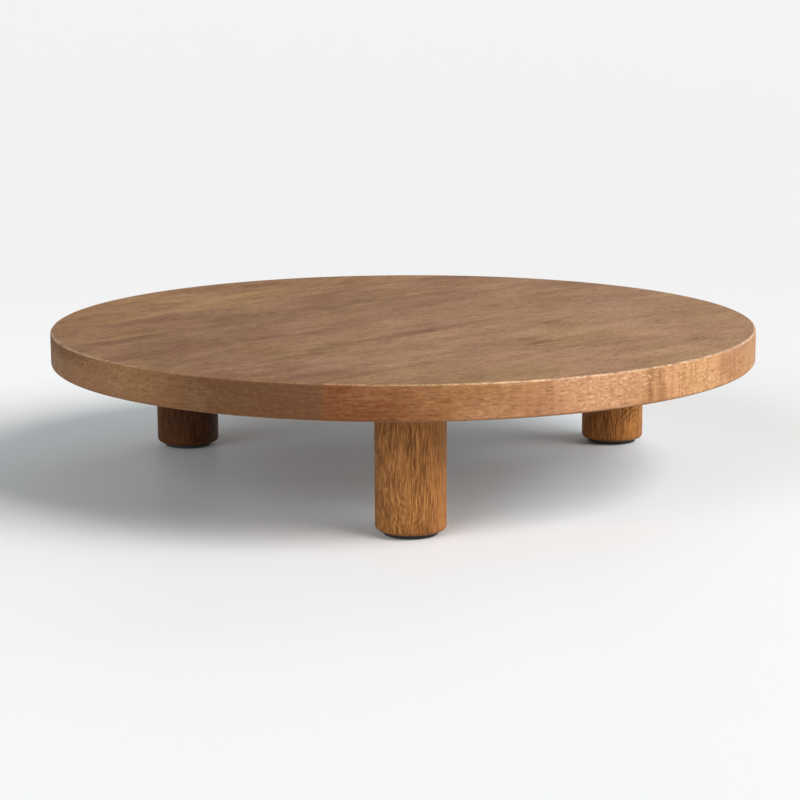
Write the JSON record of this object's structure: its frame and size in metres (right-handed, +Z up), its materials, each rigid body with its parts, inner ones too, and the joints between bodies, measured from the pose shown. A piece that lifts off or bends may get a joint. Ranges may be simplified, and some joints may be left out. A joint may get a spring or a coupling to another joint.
{
  "type": "footed serving board",
  "caption": "Round edge-glued wooden serving board raised on short turned wooden feet with non-slip pads, for presenting food on a table.",
  "frame": {"origin": "on the table, midway between the feet, under the centre of the board", "axes": "+Z up, -Y towards the front foot, +X to the right as seen from the front"},
  "size_m": [0.406, 0.406, 0.088],
  "materials": {
    "board_wood": "satin oiled",
    "foot_wood": "satin oiled",
    "pad_rubber": "matte",
    "screw_steel": "zinc plated"
  },
  "bodies": {
    "root": {"board_stave_1": "board_wood", "board_stave_2": "board_wood", "board_stave_3": "board_wood", "board_stave_4": "board_wood", "board_stave_5": "board_wood", "board_stave_6": "board_wood", "foot_front": "foot_wood", "foot_back_right": "foot_wood", "foot_back_left": "foot_wood", "foot_pad_front": "pad_rubber", "foot_pad_back_right": "pad_rubber", "foot_pad_back_left": "pad_rubber", "foot_washer_front": "screw_steel", "foot_washer_back_right": "screw_steel", "foot_washer_back_left": "screw_steel", "foot_screw_front": "screw_steel", "foot_screw_back_right": "screw_steel", "foot_screw_back_left": "screw_steel"}
  },
  "joints": []
}
